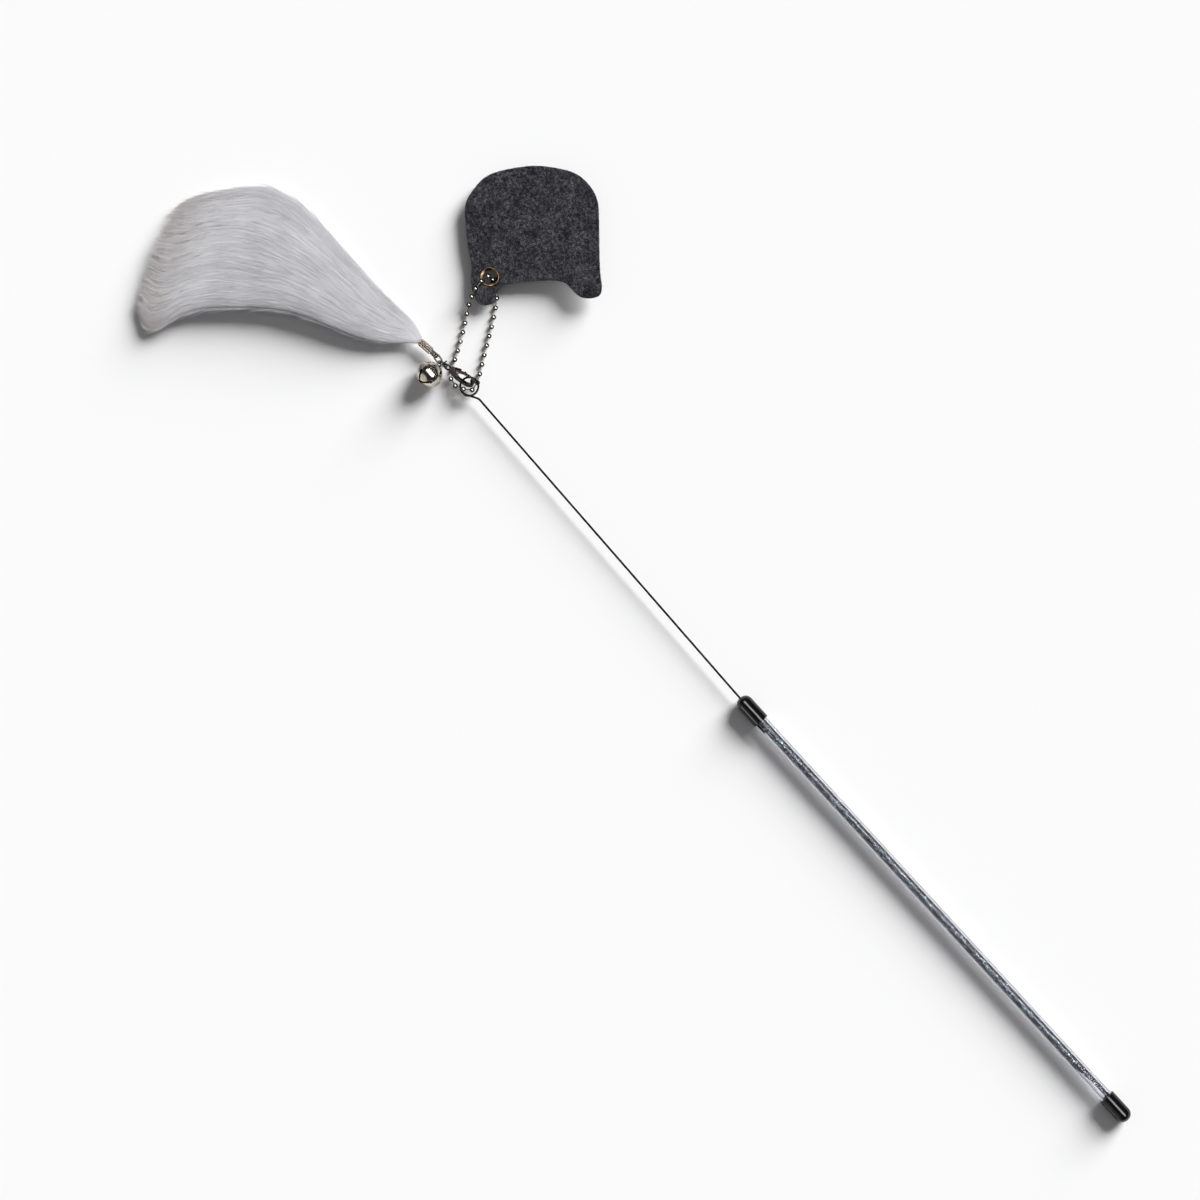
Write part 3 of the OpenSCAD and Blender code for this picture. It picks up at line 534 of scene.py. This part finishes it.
def plumePoint(t, f, side, lift):
    flat = fieldPoint(t, f)
    over = np.maximum(t - 1, 0)[..., None]  # strands that run past the end go straight on
    flat = flat + over * (fieldPoint(np.ones_like(t), f) - fieldPoint(np.full_like(t, 0.9), f)) * 10
    half = np.interp(t, *plume["height"]) * plume["thick"] / 2
    rise = np.sqrt(np.clip(1 - np.abs(2 * f - 1) ** 2.2, 0, 1))
    settle = np.clip(1 - 0.75 * t, 0, 1) ** 8
    rx, ry, rz = plume["root"]
    drop = paperLevel - rz
    z = (drop + half) * (1 - settle) + side * half * rise + np.where(side >= 0, lift, -lift)
    z = np.maximum(z, drop * np.clip(t * 8, 0, 1) - 0.2 * mm)
    ca = math.cos(plume["heading"])
    sa = math.sin(plume["heading"])
    x = flat[..., 0] * plume["length"]
    y = flat[..., 1] * plume["length"]
    return np.stack([rx + ca * x - sa * y, ry + sa * x + ca * y, rz + z], -1)


furTones = {
    "cool": ((0.76, 0.765, 0.80), (0.82, 0.82, 0.85)),
    # warm, and darker than the strands: painted shade in the gaps between the locks, on the body under the
    # strands
    "underWarmPaintedShade": (0.44, 0.38, 0.35),
    "strandWarm": (0.68, 0.585, 0.53),
    # painted shade: the colour of the dark strands that stand in for the gaps between locks
    "gap": (0.17, 0.125, 0.105),
    "lines": 0.35,
}


def furMaterial(name, shade, warm):
    mat, tree, bsdf = newTree(name)
    tone = put(tree, "Attribute", attribute_name="tone").outputs["Fac"]
    cloud = grain(tree, coords(tree), 14 * mm, 3)
    fine = grain(tree, coords(tree, (1, 2.5, 1), (0, 0, 0.9)), 0.5 * mm, 4)
    deep = tuple(c * shade * 0.92 for c in furTones["cool"][0])
    pale = tuple(c * shade for c in furTones["cool"][1])
    tint = mixed(tree, tone, ramp(tree, cloud, [(0.3, deep), (0.7, pale)]), (*warm, 1))
    # painted shade: tones near 1 take the dark gap colour, standing in for the shade between locks
    gap = ramp(tree, tone, [(0.92, 0.0), (0.98, 0.85)])
    tint = mixed(tree, gap, tint, (*furTones["gap"], 1))
    tint = mixed(tree, furTones["lines"], tint, ramp(tree, fine, [(0.25, 0.55), (0.7, 1.0)]), "MULTIPLY")
    tree.links.new(tint, bsdf.inputs["Base Color"])
    bsdf.inputs["Roughness"].default_value = 0.62
    bsdf.inputs["Specular IOR Level"].default_value = 0.25
    bsdf.inputs["Sheen Weight"].default_value = 0.15
    bsdf.inputs["Sheen Roughness"].default_value = 0.4
    bump(tree, bsdf, fine, 0.08 * mm, 0.4)
    return mat


# the body under the strands is a darker copy of the fur, painted shade seen between the strands
furBodyMat = furMaterial("furUnder", 0.86, furTones["underWarmPaintedShade"])
furMat = furMaterial("furStrands", 1.0, furTones["strandWarm"])


def furBody():
    rows = plume["rows"]
    cols = plume["around"]
    t = np.linspace(0, plume["bodyEnd"], rows)[:, None] * np.ones(cols)
    a = np.linspace(0, 2 * math.pi, cols, endpoint=False)[None, :] * np.ones((rows, 1))
    f = 0.5 - plume["bodyHalf"] * np.cos(a)
    side = np.sin(a)
    ridge = np.sin(f * 95 + 2.2 * np.sin(t * 7)) * 0.10 * mm + np.sin(f * 41 + t * 5) * 0.16 * mm
    lift = (ridge - plume["sunk"]) * np.clip(t * 6, 0, 1)
    points = plumePoint(t, f, np.sign(side) * np.abs(side) ** 0.2 * 0.9, lift)
    faces = [(i * cols + j, i * cols + (j + 1) % cols, (i + 1) * cols + (j + 1) % cols, (i + 1) * cols + j)
             for i in range(rows - 1) for j in range(cols)]
    faces += [tuple(range(cols))[::-1], tuple((rows - 1) * cols + j for j in range(cols))]
    # towards the loose end the body turns warm and darker still, painted shade in the gaps between the
    # locks
    tone = np.clip((t - 0.72) * 3.2, 0, 1)
    return meshObject("fur_body", points.reshape(-1, 3), faces, furBodyMat, tone)


# one coat per row: proud and width in mm, the rest in shares of the tail or of the strands
coats = {
    # the share of strands painted dark, as painted shade in the gaps between locks, is given last in each
    # row
    "fur_undercoat": {"count": 6500, "seed": 11, "from": (0.0, 0.93), "edges": 0.12, "reach": (0.08, 0.2),
                      "end": 1.0, "stray": 0.006, "proud": (-0.1, 0.25), "width": (0.16, 0.3), "gapShadeStrands": 0.0},
    "fur_guard": {"count": 13500, "seed": 23, "from": (0.0, 0.96), "edges": 0.3, "reach": (0.12, 0.3),
                  "end": 1.005, "stray": 0.008, "proud": (0.1, 0.5), "width": (0.05, 0.10), "gapShadeStrands": 0.02},
    "fur_wisps": {"count": 3600, "seed": 37, "from": (0.03, 0.97), "edges": 0.75, "reach": (0.08, 0.2),
                  "end": 1.02, "stray": 0.016, "proud": (0.2, 1.1), "width": (0.025, 0.055), "gapShadeStrands": 0.06},
}


def stripFaces(count, rings):
    # faces of strands that are three points wide
    base = (np.arange(count) * rings * 3)[:, None, None]
    a = base + (np.arange(rings - 1) * 3)[None, :, None] + np.arange(2)[None, None, :]
    return np.stack([a, a + 1, a + 4, a + 3], -1).reshape(-1, 4)


def furStrands(name, count, spec):
    rng = np.random.default_rng(spec["seed"])
    rings = plume["rings"]
    k = np.linspace(0, 1, rings)[None, :]
    start = rng.uniform(*spec["from"], count)
    # where each strand grows, some of them close to the two edges
    f0 = rng.uniform(0, 1, count)
    edge = rng.random(count) < spec["edges"]
    near0 = rng.beta(1, 22, edge.sum())
    f0[edge] = np.where(rng.random(edge.sum()) < 0.5, near0, 1 - near0)
    side = np.where(rng.random(count) < plume["onTop"], 1.0, -1.0)
    reach = rng.uniform(*spec["reach"], count) * (0.45 + 0.55 * np.clip(start * 5, 0, 1))
    # each strand ends with its lock, and leans into it over the last third
    locks = np.sort(rng.uniform(0, 1, plume["locks"]))
    lockEnd = spec["end"] + rng.normal(0, plume["lockEnds"], plume["locks"])
    near = np.abs(f0[:, None] - locks[None, :]).argmin(1)
    last = lockEnd[near] - rng.random(count) ** 2 * 0.05 + rng.normal(0, 0.008, count)
    t = start[:, None] + reach[:, None] * k
    t = np.where(t[:, -1:] > last[:, None], t - (t[:, -1:] - last[:, None]), t)
    gather = np.clip((t - plume["gatherFrom"]) / plume["gatherOver"], 0, 1) ** 1.5
    f = f0[:, None] + (locks[near] - f0)[:, None] * gather * plume["gathered"]
    # strays and waves
    wander = rng.normal(0, spec["stray"], count)[:, None]
    f = f + wander * k ** 1.6 + np.sin(k * 2.6 + f0[:, None] * 60 + t * 9) * 0.0035
    outward = np.where(edge, np.sign(f0 - 0.5) * rng.gamma(1.4, 0.011, count), 0)[:, None]
    f = f + outward * k ** 2
    bulge = rng.uniform(*spec["proud"], count)[:, None] * np.sin(k * math.pi * 0.85) * mm
    bulge = bulge + rng.uniform(-0.25, 0.15, count)[:, None] * k * mm
    sides = np.broadcast_to(side[:, None], t.shape)
    centre = plumePoint(t, f, sides, bulge * np.clip(t * 6, 0.15, 1))
    # a flat strip with a raised middle
    run = unit(np.gradient(centre, axis=1))
    across = unit(np.cross(run, np.array([0, 0, 1.0]) + np.zeros_like(run)))
    across = across + rng.uniform(-0.35, 0.35, count)[:, None, None] * np.array([0, 0, 1.0])
    width = rng.uniform(*spec["width"], count)[:, None] * mm * np.array(plume["taper"])[None, :]
    rise = np.array([0, 0, 1.0]) * (width * 0.3 * side[:, None])[..., None]
    reachOut = across * width[..., None]
    ring = np.stack([centre - reachOut, centre + rise, centre + reachOut], 2)
    # warm towards the tips; a few strands are painted dark, painted shade in the gaps between locks
    warmth = np.clip((t - 0.80) * 4.5, 0, 1) * rng.beta(1.1, 1.3, count)[:, None]
    tone = warmth * 0.78 + rng.uniform(0, 0.12, count)[:, None]
    gapShadeStrands = (rng.random(count) < spec["gapShadeStrands"])[:, None] & (t > plume["gapShadeFrom"])
    tone = np.repeat(np.where(gapShadeStrands, 1.0, tone)[..., None], 3, 2)
    return meshObject(name, ring.reshape(-1, 3), stripFaces(count, rings), furMat, tone)


def leather():
    mat, tree, bsdf = newTree("leather")
    cell = grain(tree, coords(tree), 0.35 * mm, 6)
    base = ramp(tree, cell, [(0.3, (0.42, 0.36, 0.29)), (0.7, (0.6, 0.53, 0.45))])
    tree.links.new(base, bsdf.inputs["Base Color"])
    bsdf.inputs["Roughness"].default_value = 0.75
    bump(tree, bsdf, cell, 0.06 * mm)
    return mat


body = furBody()
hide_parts("tail_fur")
fur = [body]
for name, spec in coats.items():
    count = spec["count"] // 1
    fur.append(furStrands(name, count, spec))
for obj in fur:
    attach(obj, "tail")
dress("tail_core", leather())
print("fur combed:", sum(len(obj.data.polygons) for obj in fur), "faces")


# felt tag: the CAD solid, remeshed, matted and given loose fibres
tag = {
    "voxel": 0.42 * mm,
    "matting": 0.055 * mm,
    "fibres": 5200,
    "fibreRings": 5,
    "fibreWidth": 0.032 * mm,
    "seed": 5,
    "flat": (65.2 * mm, 64.4 * mm),
    "tones": ((0.008, 0.008, 0.010), (0.034, 0.034, 0.041), (0.15, 0.149, 0.165)),
    "fibreTones": ((0.02, 0.02, 0.024), (0.09, 0.09, 0.1), (0.3, 0.298, 0.32)),
}


def feltMaterial(name, low, high, fibre):
    mat, tree, bsdf = newTree(name)
    at = coords(tree)
    blot = grain(tree, at, 1.5 * mm, 6, 0.75, 0.8)
    fine = grain(tree, at, 0.5 * mm, 5, 0.7, 1.6)
    base = ramp(tree, calc(tree, "MULTIPLY", blot, fine), [(0.18, low), (0.25, high), (0.33, fibre)])
    cloud = ramp(tree, grain(tree, at, 7 * mm, 4, 0.6), [(0.36, 0.52), (0.6, 1.0)])
    tree.links.new(mixed(tree, 1.0, base, cloud, "MULTIPLY"), bsdf.inputs["Base Color"])
    bsdf.inputs["Roughness"].default_value = 0.95
    bsdf.inputs["Specular IOR Level"].default_value = 0.15
    bsdf.inputs["Sheen Weight"].default_value = 0.12
    bsdf.inputs["Sheen Roughness"].default_value = 0.5
    bump(tree, bsdf, fine, 0.12 * mm, 0.8)
    return mat


feltMat = feltMaterial("felt", *tag["tones"])
fibreMat = feltMaterial("feltFibres", *tag["fibreTones"])


def feltTag():
    data = nodes["felt_tag"].data.copy()
    obj = bpy.data.objects.new("felt", data)
    bpy.context.scene.collection.objects.link(obj)
    mesh = bmesh.new()
    mesh.from_mesh(data)
    bmesh.ops.remove_doubles(mesh, verts=mesh.verts, dist=0.001 * mm)
    flatArea = sum(f.calc_area() for f in mesh.faces if abs(f.normal.z) > 0.9) / 2
    mesh.to_mesh(data)
    mesh.free()
    remesh = obj.modifiers.new("remesh", "REMESH")
    remesh.mode = "VOXEL"
    remesh.voxel_size = tag["voxel"]
    ease = obj.modifiers.new("ease", "SMOOTH")
    ease.factor = 0.5
    ease.iterations = 2
    graph = bpy.context.evaluated_depsgraph_get()
    matted = bpy.data.meshes.new_from_object(obj.evaluated_get(graph))
    obj.modifiers.clear()
    obj.data = matted
    matted.materials.clear()
    matted.materials.append(feltMat)
    # the matted surface is a little uneven
    co = np.zeros(len(matted.vertices) * 3, np.float32)
    way = np.zeros_like(co)
    matted.vertices.foreach_get("co", co)
    matted.vertices.foreach_get("normal", way)
    co = co.reshape(-1, 3)
    way = way.reshape(-1, 3)
    push = np.array([noise.fractal(Vector(p) / (1.3 * mm), 0.7, 2.1, 4) for p in co])
    co = co + way * (push * tag["matting"])[:, None]
    matted.vertices.foreach_set("co", co.ravel())
    matted.shade_smooth()
    matted.update()
    return obj, flatArea, co, way


def feltFibres(co, way):
    rng = np.random.default_rng(tag["seed"])
    count = tag["fibres"]
    pick = rng.integers(0, len(co), count)
    p = co[pick]
    n = way[pick]
    run = unit(np.cross(n, rng.normal(size=(count, 3))))
    curl = np.cross(n, run)
    length = rng.gamma(3, 0.32, count) * mm
    bend = rng.normal(0, 0.5, count)
    proud = rng.uniform(-0.02, 0.10, count) * mm
    rings = []
    for k in np.linspace(-0.5, 0.5, tag["fibreRings"]):
        mid = p + run * (length * k)[:, None] + curl * (bend * length * k * k * 2)[:, None]
        mid = mid + n * (proud + 0.05 * mm * math.cos(k * math.pi))[:, None]
        wide = tag["fibreWidth"] * (1 - abs(k * 1.6) ** 2 * 0.9)
        rings.append(np.stack([mid - curl * wide, mid + n * wide, mid + curl * wide], 1))
    ring = np.stack(rings, 1)
    return meshObject("felt_fibres", ring.reshape(-1, 3), stripFaces(count, tag["fibreRings"]), fibreMat)


felt, flatArea, feltCo, feltWay = feltTag()
fibres = feltFibres(feltCo, feltWay)
for obj in (felt, fibres):
    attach(obj, "tag")
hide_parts("felt_tag")
print("felt matted:", len(felt.data.polygons), "faces")


# eyelet: rolled brass rim over the felt, drawn down into the barrel
lip = {
    "inner": 3.1 * mm,
    "outer": 4.62 * mm,
    "crest": 4.2 * mm,
    "proud": 0.42 * mm,
    "under": 0.3 * mm,  # from the top of the CAD flange down to the felt
    "sides": 96,
}


def eyeletAxis():
    # middle and axis of the CAD eyelet from its own vertices, and how far it reaches along the axis
    co = np.array([v.co for v in nodes["eyelet"].data.vertices])
    middle = co.mean(0)
    way = np.linalg.svd(co - middle)[2][2]
    way = way if way[2] > 0 else -way
    reach = (co - middle) @ way
    return Vector(middle), Vector(way), reach.min(), reach.max()


def rimOutline(low, face):
    # radius and height, up the barrel, over the crest and back under the flange
    outline = [(lip["inner"], low), (lip["inner"] - 0.02 * mm, (low + face) / 2)]
    outline.append((lip["inner"], face - 0.15 * mm))
    for share in np.linspace(0, 1, 9):
        a = share * math.pi / 2
        r = lip["inner"] + (lip["crest"] - lip["inner"]) * math.sin(a) * (1 - 0.12 * math.sin(2 * a))
        outline.append((r, face + lip["proud"] * (1 - (1 - share) ** 1.6)))
    for share in np.linspace(0, 1, 8)[1:]:
        a = share * math.pi * 0.62
        r = lip["crest"] + (lip["outer"] - lip["crest"]) * math.sin(a)
        outline.append((r, face + lip["proud"] * math.cos(a)))
    foot = face - 0.01 * mm
    behind = lip["inner"] + 0.3 * mm
    return outline + [(lip["outer"] - 0.25 * mm, foot), (behind, foot), (behind, low)]


def eyeletRim():
    middle, way, low, high = eyeletAxis()
    turn = way.to_track_quat("Z", "Y").to_matrix()
    outline = rimOutline(low, high - lip["under"])
    n = lip["sides"]
    m = len(outline)
    points = []
    for r, h in outline:
        for a in np.arange(n) * 2 * math.pi / n:
            worn = r * (1 + 0.004 * math.sin(5 * a + 1) + 0.003 * math.sin(11 * a))
            points.append(middle + turn @ Vector((worn * math.cos(a), worn * math.sin(a), h)))
    faces = []
    for i in range(m):
        for j in range(n):
            after = (i + 1) % m * n
            faces.append((i * n + j, i * n + (j + 1) % n, after + (j + 1) % n, after + j))
    obj = meshObject("eyelet_rim", points, faces, finish["brass"])
    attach(obj, "tag")
    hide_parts("eyelet")


eyeletRim()
print("eyelet rolled")


# floor and light
studio = {
    "paper": 0.93,
    "reach": 30,  # far enough for its edge to stay out of sight
    "lowWay": (-0.1, 1, -0.45),
    "low": 6.75,
    "lowAngle": math.radians(34),
    "keyWay": (-0.15, 0.62, -1),
    "key": 2.9,
    "keyAngle": math.radians(40),
    "dome": (0.16, 0.16, 0.1632, 1),
    "beyond": (0.965, 0.965, 0.967, 1),  # seen past the paper and through the tube
    "box": 11.0,
    "boxOff": 0.22,  # how far the overhead softbox stands off the zenith
    "boxLong": [(0.68, 0.0), (0.82, 1.0)],
    "boxSlim": [(0.08, 1.0), (0.17, 0.2), (0.32, 0.0)],
    "band": [(0.0, 0.3), (0.1, 0.25), (0.22, 0.035), (1.0, 0.035)],
    "panelWay": (0.15, 0.96, 0.22),
    "panel": [(0.74, 0.0), (0.86, (0.66, 0.62, 0.555))],
}


def makePaper():
    mesh = bmesh.new()
    bmesh.ops.create_grid(mesh, x_segments=8, y_segments=8, size=studio["reach"])
    data = bpy.data.meshes.new("floor")
    mesh.to_mesh(data)
    mesh.free()
    obj = bpy.data.objects.new("floor", data)
    obj.location = (0.3, 0, paperLevel)
    bpy.context.scene.collection.objects.link(obj)
    mat, tree, bsdf = newTree("floorPaper")
    v = studio["paper"]
    bsdf.inputs["Base Color"].default_value = (v, v, v, 1)
    bsdf.inputs["Roughness"].default_value = 1
    bsdf.inputs["Specular IOR Level"].default_value = 0
    data.materials.append(mat)
    return obj


def makeWorld():
    # soft even light; glossy rays see a softbox overhead, a dark studio round it and a pale band low down
    world = bpy.data.worlds.new("studio")
    bpy.context.scene.world = world
    world.use_nodes = True
    tree = world.node_tree
    tree.nodes.clear()
    way = put(tree, "TexCoord").outputs["Generated"]
    height = put(tree, "SeparateXYZ", {0: way}).outputs["Z"]
    across = put(tree, "SeparateXYZ", {0: way}).outputs["Y"]
    across = calc(tree, "ABSOLUTE", calc(tree, "ADD", across, studio["boxOff"]))
    long = ramp(tree, height, studio["boxLong"])
    slim = ramp(tree, across, studio["boxSlim"])
    box = mixed(tree, 1.0, long, slim, "MULTIPLY")
    box = put(tree, "VectorMath", {0: box, "Scale": studio["box"]}, operation="SCALE").outputs[0]
    shine = mixed(tree, 1.0, ramp(tree, height, studio["band"]), box, "ADD")
    panel = ramp(tree, dot(tree, way, studio["panelWay"]), studio["panel"])
    shine = mixed(tree, 1.0, shine, panel, "ADD")
    shine = put(tree, "Background", {"Color": shine}).outputs[0]
    soft = put(tree, "Background", {"Color": studio["dome"]}).outputs[0]
    plain = put(tree, "Background", {"Color": studio["beyond"]}).outputs[0]
    path = put(tree, "LightPath").outputs
    seen = calc(tree, "MAXIMUM", path["Is Camera Ray"], path["Is Transmission Ray"])
    sky = put(tree, "MixShader", {0: path["Is Glossy Ray"], 1: soft, 2: shine}).outputs[0]
    sky = put(tree, "MixShader", {0: seen, 1: sky, 2: plain}).outputs[0]
    put(tree, "OutputWorld", {0: sky})


def makeSun(name, way, energy, angle, onto):
    # the light falls on these objects alone, or on all but them
    data = bpy.data.lights.new(name, "SUN")
    data.energy = energy
    data.angle = angle
    obj = bpy.data.objects.new(name, data)
    obj.rotation_mode = "QUATERNION"
    obj.rotation_quaternion = Vector(way).to_track_quat("-Z", "Y")
    obj.visible_glossy = False
    bpy.context.scene.collection.objects.link(obj)
    group = bpy.data.collections.new(name + "Onto")
    for lit in onto:
        group.objects.link(lit)
    obj.light_linking.receiver_collection = group
    return obj, group


paper = makePaper()
makeWorld()
# the low sun draws the long soft shadow on the paper and shows in the milky wall of the tube
onto = [paper, nodes["handle_tube"]]
lowSun = makeSun("low", studio["lowWay"], studio["low"], studio["lowAngle"], onto)[0]
lowSun.visible_transmission = False
# the key lights the toy and leaves the paper out
keyGroup = makeSun("key", studio["keyWay"], studio["key"], studio["keyAngle"], [paper])[1]
keyGroup.collection_objects[0].light_linking.link_state = "EXCLUDE"
print("paper laid, lights on")
